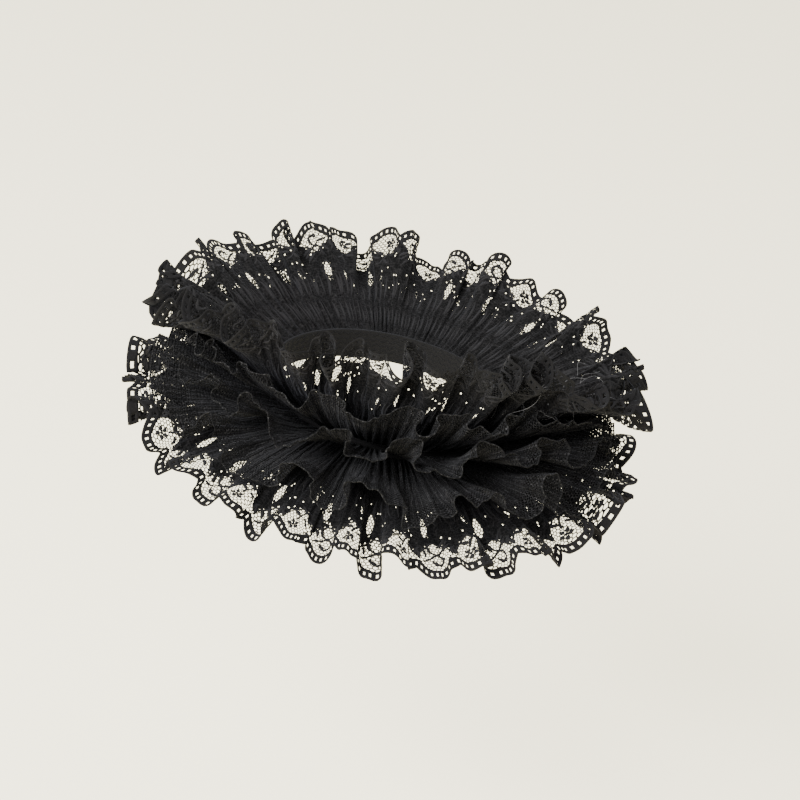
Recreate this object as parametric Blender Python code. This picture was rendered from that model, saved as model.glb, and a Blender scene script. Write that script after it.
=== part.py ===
"""Ruff collar of black lace and tulle.

Five gathered frills are sewn one above the other round a closed elastic neck band. Each frill is one
thin wall, waved round the neck, and the two lace ones end in scallops. Metres, +Z up, -Y the wearer's
front. The origin is the middle of the neck band, where a neck would hold it.
"""

import math
from typing import NamedTuple

import bpy
import numpy as np

# Neck band: a flat elastic ring
BAND_INNER_RADIUS = 0.0685
BAND_WALL = 0.0015
BAND_HEIGHT = 0.018
BAND_SEGMENTS = 72
BAND_EDGE_ROUND = 0.0003

# Cloth and seams
CLOTH_WALL = 0.0012
SEAM_GAP = 0.0003
SEAM_SPACING = 0.0034
SEAM_RADIUS = BAND_INNER_RADIUS + BAND_WALL + SEAM_GAP

# Flat cut of the frills, from the sewn edge to the free one
LACE_DEPTH = 0.074
SCALLOP_DEPTH = 0.008
UPPER_TULLE_DEPTH = 0.058
MIDDLE_TULLE_DEPTH = 0.061
LOWER_TULLE_DEPTH = 0.068

# The frills open widest under the wearer's right jaw and lie closest at the far side of the neck
OPEN_SIDE = math.radians(-33)

# How a frill leaves its seam: flatter at first, then at its full slant
SEAM_SLANT_SHARE = 0.72
TURNING_RUN = 0.060
LEVEL = math.radians(90)

# How far a frill swings as it waves. Two neighbours leave a little room between them
WEDGE_MARGIN = math.radians(1.3)
FREE_SWING = math.radians(10)
SEAM_SWING_SHARE = 0.45
FLATTEST_LOSS = 0.34

# How unevenly the waves follow each other round the neck, as shares of a wave's phase
WIDE_DRIFT = 0.75
FINE_DRIFT = 0.45
FINE_DRIFT_MORE = 6

# A slow wave that the whole stack makes together, where the frills lie close
SHARED_SWING = math.radians(5)
SHARED_WAVES = 13
SHARED_DRIFT = 0.8
SHARED_DRIFT_WAVES = 4
SHARED_DRIFT_START = 1.1

# How finely a waved edge is measured
EDGE_STEPS = 4000


class Station(NamedTuple):
    """Slant of each frill, in degrees from straight up, at a turn from the open side seen from above."""

    turn: float
    top_lace: float
    upper_tulle: float
    middle_tulle: float
    lower_tulle: float
    bottom_lace: float


STATIONS = (
    Station(turn=0, top_lace=31, upper_tulle=47, middle_tulle=62, lower_tulle=90, bottom_lace=108),
    Station(turn=45, top_lace=33, upper_tulle=44, middle_tulle=56, lower_tulle=86, bottom_lace=104),
    Station(turn=90, top_lace=64, upper_tulle=73, middle_tulle=82, lower_tulle=91, bottom_lace=101),
    Station(turn=135, top_lace=69, upper_tulle=77, middle_tulle=85, lower_tulle=94, bottom_lace=104),
    Station(turn=180, top_lace=70, upper_tulle=78, middle_tulle=86, lower_tulle=95, bottom_lace=105),
    Station(turn=225, top_lace=69, upper_tulle=77, middle_tulle=85, lower_tulle=94, bottom_lace=104),
    Station(turn=270, top_lace=66, upper_tulle=74, middle_tulle=83, lower_tulle=92, bottom_lace=101),
    Station(turn=315, top_lace=46, upper_tulle=56, middle_tulle=70, lower_tulle=90, bottom_lace=105),
)


class Frill(NamedTuple):
    """One gathered strip. Swell and drift say how uneven its waves are, in height and in width."""

    slant: str
    seam_row: int
    depth: float
    waves: int
    columns: int
    rows: int
    roundness: float
    swell: int
    drift: int
    offset: float
    start: float
    scallops: int


LACE_WAVES = 24
LACE_COLUMNS = 192
LACE_SCALLOPS = 48

FRILLS = {
    "top_lace_frill": Frill(
        slant="top_lace", seam_row=2, depth=LACE_DEPTH, waves=LACE_WAVES, columns=LACE_COLUMNS,
        rows=3, roundness=0.36, swell=5, drift=6, offset=5.4, start=1.47, scallops=LACE_SCALLOPS,
    ),
    "upper_tulle_frill": Frill(
        slant="upper_tulle", seam_row=1, depth=UPPER_TULLE_DEPTH, waves=18, columns=144,
        rows=3, roundness=0.42, swell=3, drift=5, offset=1.9, start=0.0, scallops=0,
    ),
    "middle_tulle_frill": Frill(
        slant="middle_tulle", seam_row=0, depth=MIDDLE_TULLE_DEPTH, waves=17, columns=136,
        rows=3, roundness=0.44, swell=7, drift=2, offset=2.3, start=3.64, scallops=0,
    ),
    "lower_tulle_frill": Frill(
        slant="lower_tulle", seam_row=-1, depth=LOWER_TULLE_DEPTH, waves=16, columns=128,
        rows=3, roundness=0.40, swell=4, drift=7, offset=5.0, start=5.07, scallops=0,
    ),
    "bottom_lace_frill": Frill(
        slant="bottom_lace", seam_row=-2, depth=LACE_DEPTH, waves=LACE_WAVES, columns=LACE_COLUMNS,
        rows=3, roundness=0.36, swell=6, drift=4, offset=2.8, start=5.03, scallops=LACE_SCALLOPS,
    ),
}


def clear_scene():
    for item in list(bpy.data.objects):
        bpy.data.objects.remove(item, do_unlink=True)


def cloth_material(name, colour, roughness):
    material = bpy.data.materials.new(name)
    material.use_nodes = True
    shader = material.node_tree.nodes["Principled BSDF"]
    shader.inputs["Base Color"].default_value = (*colour, 1.0)
    shader.inputs["Roughness"].default_value = roughness
    shader.inputs["Metallic"].default_value = 0.0
    return material


def slant_at(column, bearing):
    """A column of STATIONS at any bearing, eased between its rows."""
    slants = np.radians([getattr(row, column) for row in STATIONS])
    place = (bearing - OPEN_SIDE) % math.tau / math.tau * len(slants)
    row = np.floor(place).astype(int) % len(slants)
    step = place % 1
    after = slants[(row + 1) % len(slants)]
    return slants[row] + (after - slants[row]) * step * step * (3 - 2 * step)


def wedge_of(frill, bearing):
    """The two slants that a frill waves between, so that it never meets the frill above or below."""
    order = Station._fields[1:]
    place = order.index(frill.slant)
    own = slant_at(frill.slant, bearing)
    steep, flat = own - FREE_SWING, own + FREE_SWING
    if place > 0:
        steep = (slant_at(order[place - 1], bearing) + own) / 2 + WEDGE_MARGIN
    if place < len(order) - 1:
        flat = (slant_at(order[place + 1], bearing) + own) / 2 - WEDGE_MARGIN
    return steep, flat


def wave_phase(frill, bearing):
    """Where a bearing lies in its wave. No two waves are quite as wide as each other."""
    wide = WIDE_DRIFT * np.sin(frill.drift * bearing + frill.offset)
    fine = FINE_DRIFT * np.sin((frill.drift + FINE_DRIFT_MORE) * bearing + 2 * frill.offset)
    return frill.waves * bearing + frill.start + wide + fine


def shared_wave(bearing):
    """How far the whole stack tips at a bearing: nothing on the open side, most on the far one."""
    far_side = 0.5 - 0.5 * np.cos(bearing - OPEN_SIDE)
    drift = SHARED_DRIFT * np.sin(SHARED_DRIFT_WAVES * bearing + SHARED_DRIFT_START)
    return SHARED_SWING * np.sqrt(far_side) * np.cos(SHARED_WAVES * bearing + drift)


def frill_point(frill, bearing, run):
    """Points of a frill's middle surface, at a bearing round the neck and a run out from its seam."""
    phase = wave_phase(frill, bearing)
    steep, flat = wedge_of(frill, bearing)
    swell = 0.5 + 0.5 * np.sin(frill.swell * bearing + 3 * frill.offset)
    height = 1 - FLATTEST_LOSS * swell
    reach = run / frill.depth
    full = np.clip(reach, 0, 1)
    swing = (flat - steep) / 2 * height * (SEAM_SWING_SHARE + (1 - SEAM_SWING_SHARE) * full)
    turned = bearing + frill.roundness * np.sin(2 * phase) / frill.waves * reach
    slant = (steep + flat) / 2 + swing * np.cos(phase) + shared_wave(turned) * full
    turning = SEAM_SLANT_SHARE + (1 - SEAM_SLANT_SHARE) * np.clip(run / TURNING_RUN, 0, 1)
    slant = LEVEL + (slant - LEVEL) * turning
    radius = SEAM_RADIUS + CLOTH_WALL / 2 * np.abs(np.cos(slant)) + run * np.sin(slant)
    level = frill.seam_row * SEAM_SPACING + run * np.cos(slant)
    return np.stack([radius * np.sin(turned), -radius * np.cos(turned), level], axis=-1)


def bearing_at(frill, share):
    """The bearing at a share of the strip's length, measured along its waved edge."""
    bearing = np.linspace(0, math.tau, EDGE_STEPS + 1)
    edge = frill_point(frill, bearing, frill.depth)
    steps = np.linalg.norm(np.diff(edge, axis=0), axis=1)
    length = np.concatenate([[0.0], np.cumsum(steps)])
    return np.interp(share, length / length[-1], bearing)


def free_edge(frill, share):
    """The run from the seam to the free edge: even on tulle, cut in equal scallops on lace."""
    lobe = np.abs(np.sin(math.pi * frill.scallops * share))
    return frill.depth + SCALLOP_DEPTH * lobe


def make_frill(name, frill, material):
    """A sheet gridded evenly along its cloth, given its cloth thickness on both sides."""
    share = np.arange(frill.columns) / frill.columns
    bearing = bearing_at(frill, share)
    edge = free_edge(frill, share)
    rings = [frill_point(frill, bearing, edge * row / frill.rows) for row in range(frill.rows + 1)]
    points = np.concatenate(rings)
    count = frill.columns
    faces = []
    for row in range(frill.rows):
        for column in range(count):
            after = (column + 1) % count
            near, far = row * count, (row + 1) * count
            faces.append((near + column, near + after, far + after, far + column))
    mesh = bpy.data.meshes.new(name)
    mesh.from_pydata(points.tolist(), [], faces)
    mesh.shade_smooth()
    mesh.materials.append(material)
    piece = bpy.data.objects.new(name, mesh)
    bpy.context.scene.collection.objects.link(piece)
    wall = piece.modifiers.new("cloth wall", "SOLIDIFY")
    wall.thickness = CLOTH_WALL
    wall.offset = 0
    wall.use_quality_normals = True
    return piece


def make_band(material):
    """The elastic ring, turned from its upright section."""
    inner = BAND_INNER_RADIUS
    outer = inner + BAND_WALL
    top = BAND_HEIGHT / 2
    cut = BAND_EDGE_ROUND
    section = (
        (inner, -top + cut), (inner + cut, -top), (outer - cut, -top), (outer, -top + cut),
        (outer, top - cut), (outer - cut, top), (inner + cut, top), (inner, top - cut),
    )
    points = []
    for segment in range(BAND_SEGMENTS):
        bearing = segment * math.tau / BAND_SEGMENTS
        for radius, level in section:
            points.append((radius * math.sin(bearing), -radius * math.cos(bearing), level))
    sides = len(section)
    faces = []
    for segment in range(BAND_SEGMENTS):
        here, there = segment * sides, (segment + 1) % BAND_SEGMENTS * sides
        for side in range(sides):
            after = (side + 1) % sides
            faces.append((here + side, there + side, there + after, here + after))
    mesh = bpy.data.meshes.new("neck_band")
    mesh.from_pydata(points, [], faces)
    mesh.shade_smooth()
    mesh.set_sharp_from_angle(angle=math.radians(40))
    mesh.materials.append(material)
    piece = bpy.data.objects.new("neck_band", mesh)
    bpy.context.scene.collection.objects.link(piece)
    return piece


def main():
    clear_scene()
    lace = cloth_material("black_lace", (0.012, 0.012, 0.013), 0.72)
    tulle = cloth_material("black_tulle", (0.020, 0.020, 0.023), 0.80)
    elastic = cloth_material("black_elastic", (0.015, 0.015, 0.016), 0.65)
    make_band(elastic)
    for name, frill in FRILLS.items():
        make_frill(name, frill, lace if frill.scallops else tulle)


if __name__ == "__main__":
    main()
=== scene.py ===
"""Black lace and tulle ruff collar: net, borders and motifs of the lace, gathered tulle, elastic, sewing.

The file is laid out as an add-on and run as a script. Lengths are metres, +Z is up and -Y is the
wearer's front. Cloth is described flat, by how far a point lies along its strip and how far out from
the sewn edge, and is placed on the worn ruff from there.
"""

import math
from typing import NamedTuple

import bpy
import numpy as np
from bpy.props import FloatProperty, FloatVectorProperty, IntProperty, PointerProperty
from mathutils import Matrix, Vector


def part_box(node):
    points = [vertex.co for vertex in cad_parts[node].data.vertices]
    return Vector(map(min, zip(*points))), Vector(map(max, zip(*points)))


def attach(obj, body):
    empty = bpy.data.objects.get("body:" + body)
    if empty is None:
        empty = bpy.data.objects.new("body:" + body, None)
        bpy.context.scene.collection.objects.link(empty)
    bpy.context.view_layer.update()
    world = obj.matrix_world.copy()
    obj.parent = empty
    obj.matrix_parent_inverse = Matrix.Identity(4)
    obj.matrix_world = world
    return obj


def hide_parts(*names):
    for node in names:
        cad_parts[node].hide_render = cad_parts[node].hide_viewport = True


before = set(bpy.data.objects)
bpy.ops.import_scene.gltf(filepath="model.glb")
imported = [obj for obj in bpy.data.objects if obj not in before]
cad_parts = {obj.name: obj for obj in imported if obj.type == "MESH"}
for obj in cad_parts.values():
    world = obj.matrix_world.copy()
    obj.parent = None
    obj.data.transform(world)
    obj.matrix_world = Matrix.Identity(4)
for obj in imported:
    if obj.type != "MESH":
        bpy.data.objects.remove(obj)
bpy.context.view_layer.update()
BAND_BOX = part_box("neck_band")

bl_info = {
    "name": "Lace Ruff Collar",
    "version": (1, 0, 0),
    "blender": (4, 5, 0),
    "location": "3D View > Sidebar > Ruff",
    "description": "Makes the lace, tulle, elastic and sewing of a gathered ruff collar",
    "category": "Object",
}

BODY = "root"

# Where the frills are sewn to the band
SEAM_GAP = 0.0003
CLOTH_WALL = 0.0012
SEAM_SPACING = 0.0034
SEAM_RADIUS = BAND_BOX[1].x + SEAM_GAP
# How far out from its seam each frill's gathering stitches run, and how many stitch lengths one is long
GATHERING_RUN = 0.0035
RUNNING_STITCH = 1.2

# The neck band's wall, and how finely it is divided
BAND_WALL = 0.0015
BAND_SEGMENTS = 150
POINTS_IN_RIB = 4

# Flat cut of the frills, from the sewn edge to the free one
LACE_DEPTH = 0.074
SCALLOP_DEPTH = 0.008
UPPER_TULLE_DEPTH = 0.058
MIDDLE_TULLE_DEPTH = 0.061
LOWER_TULLE_DEPTH = 0.068

# The frills open widest under the wearer's right jaw and lie closest at the far side of the neck
OPEN_SIDE = math.radians(-33)

# How a frill leaves its seam: flatter at first, then at its full slant
SEAM_SLANT_SHARE = 0.72
TURNING_RUN = 0.060
LEVEL = math.radians(90)

# How far a frill swings as it waves. Two neighbours leave a little room between them
WEDGE_MARGIN = math.radians(1.3)
FREE_SWING = math.radians(10)
SEAM_SWING_SHARE = 0.45
FLATTEST_LOSS = 0.34

# How unevenly the waves follow each other round the neck, as shares of a wave's phase
WIDE_DRIFT = 0.75
FINE_DRIFT = 0.45
FINE_DRIFT_MORE = 6

# A slow wave that the whole stack makes together, where the frills lie close
SHARED_SWING = math.radians(5)
SHARED_WAVES = 13
SHARED_DRIFT = 0.8
SHARED_DRIFT_WAVES = 4
SHARED_DRIFT_START = 1.1

# Net: a row's pitch as a share of a cell's height, the widest and tallest a cell's threads can be as
# shares of the cell, and how far the thread may be widened or narrowed where the cloth is drawn together
ROW_PITCH = 0.75
WIDEST_THREAD = 0.72
TALLEST_THREAD = 0.8
CLOSEST_CLOTH = 0.3
LOOSEST_CLOTH = 1.2
# Faces under this many square metres are dropped where the net's cells are cut off at the border
SMALLEST_FACE = 2e-9

# How finely the plain cloth is divided: the laces beside the seam, and the tulle inside its open edge
HEADING_COLUMNS = 960
HEADING_ROWS = 10
TULLE_COLUMNS = 1180
TULLE_ROWS = 16

# Small folds: gathers reach their full height this far from the seam, then fade. Finer gathers lie on them
GATHER_RISE = 0.005
GATHER_FADE = 1.3
FINE_GATHER_WIDTH = 0.63
FINE_GATHER_HEIGHT = 0.5
# Soft creases come and go over this many of their own widths
CREASE_PATCH = 3.4

# Fine waves that the frills make together, one nested in the next, out from where they part
NEST_WAVES = 44
NEST_HEIGHT = 0.0040
NEST_START = 0.022
NEST_FULL = 0.07
NEST_LAG = 0.3
# The stiffer lace takes up this share of them
NEST_LACE_SHARE = 0.45

# At the two sides of the neck the laces hang towards each other, most at their free edges
SIDE_DROOP = 0.013
SIDE_DROOP_START = 0.038
SIDE_SHARPNESS = 6

# The bottom lace hangs calmer than the other frills: its swing is this share of theirs
RESTING_SWING = 0.66

# Fine loose threads on both faces of the top lace, between two bearings. Each lies a golden share of
# that way further than the last, so they spread evenly
LOOSE_FIBRES = 48
FIBRES_FROM = math.radians(5)
FIBRES_TO = math.radians(75)
GOLDEN_SHARE = 0.618
HEIGHT_SHARE = 0.37
FIBRE_POINTS = 14
SHORTEST_FIBRE = 0.018
LONGEST_FIBRE = 0.034
LOWEST_FIBRE = 0.030
HIGHEST_FIBRE = 0.048
# How far a fibre stands off the lace at its ends, and how much further in its middle
FIBRE_CLEAR = 0.0014
FIBRE_ARCH = 0.003
# Which way a fibre starts off, how far that may differ, and how far it curls, all in radians
FIBRE_HEADING = 1.3
FIBRE_TURN = 1.1
FIBRE_CURL = 2.2
# Steps in the waves that these two follow from one fibre to the next
TURN_STEP = 1.7
CURL_STEP = 2.4

# How finely a waved edge is measured, and the step that a cloth's facing is taken over
EDGE_STEPS = 4000
FACING_STEP = 0.0003

# Camera: the photo's viewing angle and frame
IMAGE_WIDTH = 800
SENSOR = 0.036
VIEW_BEARING = math.radians(-33)
VIEW_HEIGHT = math.radians(25)
VIEW_ROLL = math.radians(13.5)
VIEW_DISTANCE = 1.8
METRES_PER_PIXEL = 0.00058
RUFF_PIXEL = (387.8, 397.1)

# Stage
FLOOR_REACH = 8.0
KEY_PLACE = (-2.1, -0.8, 1.3)
KEY_SIZE = 1.6
FILL_PLACE = (1.8, -0.6, 1.1)
FILL_SIZE = 1.8

# Light that the fine hairs of the thread and of the tulle give back
WHITE = (1.0, 1.0, 1.0)
THREAD_SHEEN = (0.75, 0.78, 0.9)
TULLE_SHEEN = (0.8, 0.82, 0.9)


class Station(NamedTuple):
    """Slant of each frill, in degrees from straight up, at a turn from the open side seen from above."""

    turn: float
    top_lace: float
    upper_tulle: float
    middle_tulle: float
    lower_tulle: float
    bottom_lace: float


STATIONS = (
    Station(turn=0, top_lace=31, upper_tulle=47, middle_tulle=62, lower_tulle=90, bottom_lace=108),
    Station(turn=45, top_lace=33, upper_tulle=44, middle_tulle=56, lower_tulle=86, bottom_lace=104),
    Station(turn=90, top_lace=64, upper_tulle=73, middle_tulle=82, lower_tulle=91, bottom_lace=101),
    Station(turn=135, top_lace=69, upper_tulle=77, middle_tulle=85, lower_tulle=94, bottom_lace=104),
    Station(turn=180, top_lace=70, upper_tulle=78, middle_tulle=86, lower_tulle=95, bottom_lace=105),
    Station(turn=225, top_lace=69, upper_tulle=77, middle_tulle=85, lower_tulle=94, bottom_lace=104),
    Station(turn=270, top_lace=66, upper_tulle=74, middle_tulle=83, lower_tulle=92, bottom_lace=101),
    Station(turn=315, top_lace=46, upper_tulle=56, middle_tulle=70, lower_tulle=90, bottom_lace=105),
)


class Frill(NamedTuple):
    """One gathered strip. Swell and drift say how uneven its waves are, in height and in width."""

    name: str
    seam_row: int
    depth: float
    waves: int
    roundness: float
    swell: int
    drift: int
    offset: float
    start: float
    scallops: int = 0

    def piece(self, kind):
        """Name of a piece of this frill, or of its node."""
        return f"{self.name}_{kind}"


LACE_WAVES = 24
TOP_SCALLOPS = 52
BOTTOM_SCALLOPS = 48

LACE_FRILLS = (
    Frill(
        name="top_lace", seam_row=2, depth=LACE_DEPTH, waves=LACE_WAVES, roundness=0.36, swell=5, drift=6,
        offset=5.4, start=1.47, scallops=TOP_SCALLOPS,
    ),
    Frill(
        name="bottom_lace", seam_row=-2, depth=LACE_DEPTH, waves=LACE_WAVES, roundness=0.36, swell=6,
        drift=4, offset=2.8, start=5.03, scallops=BOTTOM_SCALLOPS,
    ),
)
TULLE_FRILLS = (
    Frill(
        name="upper_tulle", seam_row=1, depth=UPPER_TULLE_DEPTH, waves=18, roundness=0.42, swell=3,
        drift=5, offset=1.9, start=0.0,
    ),
    Frill(
        name="middle_tulle", seam_row=0, depth=MIDDLE_TULLE_DEPTH, waves=17, roundness=0.44, swell=7,
        drift=2, offset=2.3, start=3.64,
    ),
    Frill(
        name="lower_tulle", seam_row=-1, depth=LOWER_TULLE_DEPTH, waves=16, roundness=0.40, swell=4,
        drift=7, offset=5.0, start=5.07,
    ),
)


def length_setting(name, description, default, least=0.0001):
    """A size that a user can change, in metres."""
    return FloatProperty(
        name=name, description=description, default=default, min=least, unit="LENGTH", precision=5,
    )


def power_setting(name, description, default):
    """A light's power that a user can change, in watts."""
    return FloatProperty(name=name, description=description, default=default, min=0.0, unit="POWER")


def colour_setting(name, description, default):
    """A colour that a user can change."""
    return FloatVectorProperty(
        name=name, description=description, default=default, min=0.0, max=1.0, subtype="COLOR",
    )


class RuffLace(bpy.types.PropertyGroup):
    """Sizes and colours of the corded net lace."""

    cell_width: length_setting("Net cell width", "Width of one net cell along the strip", 0.0022)
    cell_height: length_setting("Net cell height", "Height of one six-sided net cell", 0.0024)
    net_thread: length_setting("Net thread", "Width of the open net's thread", 0.00052)
    dense_thread: length_setting(
        "Dense ground", "Width of the worked threads round the few holes of the dense ground", 0.0009,
    )
    border_width: length_setting("Border width", "Distance between the border's two cords", 0.0042)
    cord_width: length_setting("Border cord", "Width of each cord of the border", 0.0021)
    rung_width: length_setting("Border rung", "Width of each rung between the border's cords", 0.0018)
    rungs: IntProperty(
        name="Rungs in a scallop", description="Eyelets along one scallop of the border", default=9, min=3,
    )
    relief: length_setting("Relief", "Thickness of the cords and motifs that lie on the net", 0.0008)
    colour: colour_setting("Lace colour", "Colour of the lace thread", (0.0046, 0.0044, 0.0045))
    motif_colour: colour_setting(
        "Motif colour", "Colour of the thicker motif thread", (0.0080, 0.0077, 0.0080),
    )


class RuffTulle(bpy.types.PropertyGroup):
    """Sizes and colours of the gathered tulle."""

    cell_width: length_setting("Tulle cell width", "Width of one cell of the tulle along the strip", 0.0019)
    cell_height: length_setting("Tulle cell height", "Height of one six-sided cell of the tulle", 0.0019)
    open_depth: length_setting(
        "Open depth", "How deep the tulle shows as open net, in from its free edge", 0.013,
    )
    lower_open_depth: length_setting(
        "Lower open depth", "How deep the sheer lower frill shows as open net", 0.022,
    )
    net_thread: length_setting("Tulle thread", "Width of the tulle's thread at the free edge", 0.00055)
    rib_spacing: length_setting(
        "Rib spacing", "Distance between the fine ribs that run out from the seam", 0.0014,
    )
    crease_spacing: length_setting(
        "Crease spacing", "Distance between the soft creases that catch the light", 0.0034,
    )
    edge_roll: length_setting("Rolled edge", "Thickness of the rolled and overlocked edge", 0.0008)
    stitch_length: length_setting(
        "Overlock stitch", "Length of one overlock stitch over the rolled edge", 0.0026,
    )
    stitch_depth: length_setting(
        "Overlock depth", "How far in from the free edge the overlock stitches reach", 0.0024,
    )
    stitch_thread: length_setting("Overlock thread", "Thickness of the overlock thread", 0.0003)
    fibre: length_setting("Loose fibre", "Thickness of the loose fibres", 0.00028, 0.00005)
    gather_height: length_setting("Gather height", "Height of the small folds beside the seam", 0.0013)
    # Painted light in the tulle's base colour: the tulle colour is its painted shade in folds and cells, and
    # the rib colour is its painted highlight where the light catches the ribs
    colour: colour_setting("Tulle colour", "Colour of the tulle in the folds", (0.0021, 0.0020, 0.0020))
    rib_highlight_colour: colour_setting(
        "Rib colour", "Colour of the tulle's ribs, where the light catches them", (0.0350, 0.0341, 0.0347),
    )
    fibre_colour: colour_setting("Fibre colour", "Colour of the loose fibres", (0.060, 0.059, 0.059))
    edge_colour: colour_setting("Edge colour", "Colour of the overlock thread", (0.010, 0.010, 0.0105))


class RuffBand(bpy.types.PropertyGroup):
    """Sizes and colours of the elastic neck band and its sewing."""

    ribs: IntProperty(
        name="Elastic ribs", description="Ribs that run round the elastic", default=12, min=3,
    )
    rib_height: length_setting("Rib height", "How far each rib of the elastic stands proud", 0.0002)
    stitch_length: length_setting("Stitch length", "Length of one zigzag stitch along the seam", 0.0028)
    stitch_width: length_setting("Stitch width", "Height of the zigzag stitches", 0.0022)
    thread: length_setting("Sewing thread", "Thickness of the sewing thread", 0.00035)
    colour: colour_setting("Elastic colour", "Colour of the elastic", (0.0048, 0.0047, 0.0049))
    thread_colour: colour_setting("Thread colour", "Colour of the sewing thread", (0.006, 0.006, 0.0065))


class RuffStage(bpy.types.PropertyGroup):
    """Floor, light and camera."""

    floor_drop: length_setting(
        "Floor drop", "How far the floor lies below the middle of the neck band", 0.32, 0.06,
    )
    floor_colour: colour_setting("Floor colour", "Colour of the floor", (0.95, 0.893, 0.675))
    key_power: power_setting("Key light", "Power of the large soft light at the front left", 290.0)
    fill_power: power_setting("Fill light", "Power of the soft light at the right", 28.0)
    sky: FloatProperty(
        name="Room light", description="Strength of the even light from all round", default=2.4, min=0.0,
    )
    sky_colour: colour_setting("Room colour", "Colour of the even light", (1.0, 0.975, 0.93))


def eased(value, start, end):
    """0 up to start, 1 from end on, and smooth between them."""
    share = np.clip((value - start) / (end - start), 0, 1)
    return share * share * (3 - 2 * share)


def between(start, end, share):
    """From start at a share of 0 to end at a share of 1."""
    return start + (end - start) * share


def unit(vectors):
    """The same directions, each of length 1."""
    return vectors / np.linalg.norm(vectors, axis=-1, keepdims=True)


def sway(turn, count, start, size):
    """A slow wave with a whole number of swings round the neck or round a strip."""
    return size * np.sin(count * turn + start)


def scattered(row, column):
    """An even scatter from 0 to 1 over the cells of a grid, the same at every run."""
    return np.sin(SCATTER_ROW * row + SCATTER_COLUMN * column) * SCATTER_GAIN % 1


def slant_at(column, bearing):
    """A column of STATIONS at any bearing, eased between its rows."""
    slants = np.radians([getattr(row, column) for row in STATIONS])
    place = (bearing - OPEN_SIDE) % math.tau / math.tau * len(slants)
    row = np.floor(place).astype(int) % len(slants)
    step = place % 1
    after = slants[(row + 1) % len(slants)]
    return slants[row] + (after - slants[row]) * step * step * (3 - 2 * step)


def wedge_of(frill, bearing):
    """The two slants that a frill waves between, so that it never meets the frill above or below."""
    order = Station._fields[1:]
    place = order.index(frill.name)
    own = slant_at(frill.name, bearing)
    steep, flat = own - FREE_SWING, own + FREE_SWING
    if place > 0:
        steep = (slant_at(order[place - 1], bearing) + own) / 2 + WEDGE_MARGIN
    if place < len(order) - 1:
        flat = (slant_at(order[place + 1], bearing) + own) / 2 - WEDGE_MARGIN
    return steep, flat


def wave_phase(frill, bearing):
    """Where a bearing lies in its wave. No two waves are quite as wide as each other."""
    wide = sway(bearing, frill.drift, frill.offset, WIDE_DRIFT)
    fine = sway(bearing, frill.drift + FINE_DRIFT_MORE, 2 * frill.offset, FINE_DRIFT)
    return frill.waves * bearing + frill.start + wide + fine


def shared_wave(bearing):
    """How far the whole stack tips at a bearing: nothing on the open side, most on the far one."""
    far_side = 0.5 - 0.5 * np.cos(bearing - OPEN_SIDE)
    drift = sway(bearing, SHARED_DRIFT_WAVES, SHARED_DRIFT_START, SHARED_DRIFT)
    return SHARED_SWING * np.sqrt(far_side) * np.cos(SHARED_WAVES * bearing + drift)


def frill_point(frill, bearing, run):
    """Points of a frill's middle surface, at a bearing round the neck and a run out from its seam."""
    phase = wave_phase(frill, bearing)
    steep, flat = wedge_of(frill, bearing)
    swell = 0.5 + sway(bearing, frill.swell, 3 * frill.offset, 0.5)
    height = 1 - FLATTEST_LOSS * swell
    reach = run / frill.depth
    full = np.clip(reach, 0, 1)
    swing = (flat - steep) / 2 * height * between(SEAM_SWING_SHARE, 1, full)
    if frill.name == "bottom_lace":
        swing = RESTING_SWING * swing
    turned = bearing + frill.roundness * np.sin(2 * phase) / frill.waves * reach
    slant = (steep + flat) / 2 + swing * np.cos(phase) + shared_wave(turned) * full
    turning = between(SEAM_SLANT_SHARE, 1, np.clip(run / TURNING_RUN, 0, 1))
    slant = between(LEVEL, slant, turning)
    radius = SEAM_RADIUS + CLOTH_WALL / 2 * np.abs(np.cos(slant)) + run * np.sin(slant)
    level = frill.seam_row * SEAM_SPACING + run * np.cos(slant)
    return np.stack([radius * np.sin(turned), -radius * np.cos(turned), level], axis=-1)


class Window(NamedTuple):
    """A lens of open net in the dense ground: its place across two scallops, from 0 to 2, and its size."""

    middle: float
    height: float
    half_width: float
    half_height: float


LACE_WINDOWS = (
    Window(middle=0.27, height=0.0465, half_width=0.135, half_height=0.0070),
    Window(middle=1.64, height=0.0420, half_width=0.075, half_height=0.0050),
)

# The dense ground ends at this height under the middle of a scallop, and higher under its notches
OPEN_NET_START = {"top_lace": 0.0600, "bottom_lace": 0.0560}
NOTCH_RISE = 0.0100
# The ground opens from this far under its end to this far over it, and across a window's edge
FADE_UNDER = 0.003
FADE_OVER = 0.002
WINDOW_FADE = 0.15
# A cell of the ground is worked over where it is at least this dense
WORKED_FROM = 0.6
# Cords that outline the windows and the dense ground
OUTLINE_WIDTH = 0.0012
# Below this height the lace is gathered so close that its ground is solid
HEADING = 0.0265
# Shares of the dense ground's cells that stay open: at the heading and towards the open net
INNER_HOLES = 0.008
OUTER_HOLES = 0.054
HOLES_FULL = 0.055
# Any uneven numbers scatter the holes
SCATTER_ROW = 12.9
SCATTER_COLUMN = 78.2
SCATTER_GAIN = 43758.5
# How round the notches of the border's outer and inner cord are, and how many steps a scallop has
OUTER_SOFTNESS = 0.06
INNER_SOFTNESS = 0.16
CORD_STEPS = 20
OUTLINE_STEPS = 12


class Folds(NamedTuple):
    """Small folds of a strip: gathers that fade from the seam, soft creases, and the crimp of a free edge."""

    gather_height: float
    gather_width: float
    gather_reach: float
    crease_height: float
    crease_width: float
    crimp_height: float
    crimp_width: float
    crimp_start: float


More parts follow.
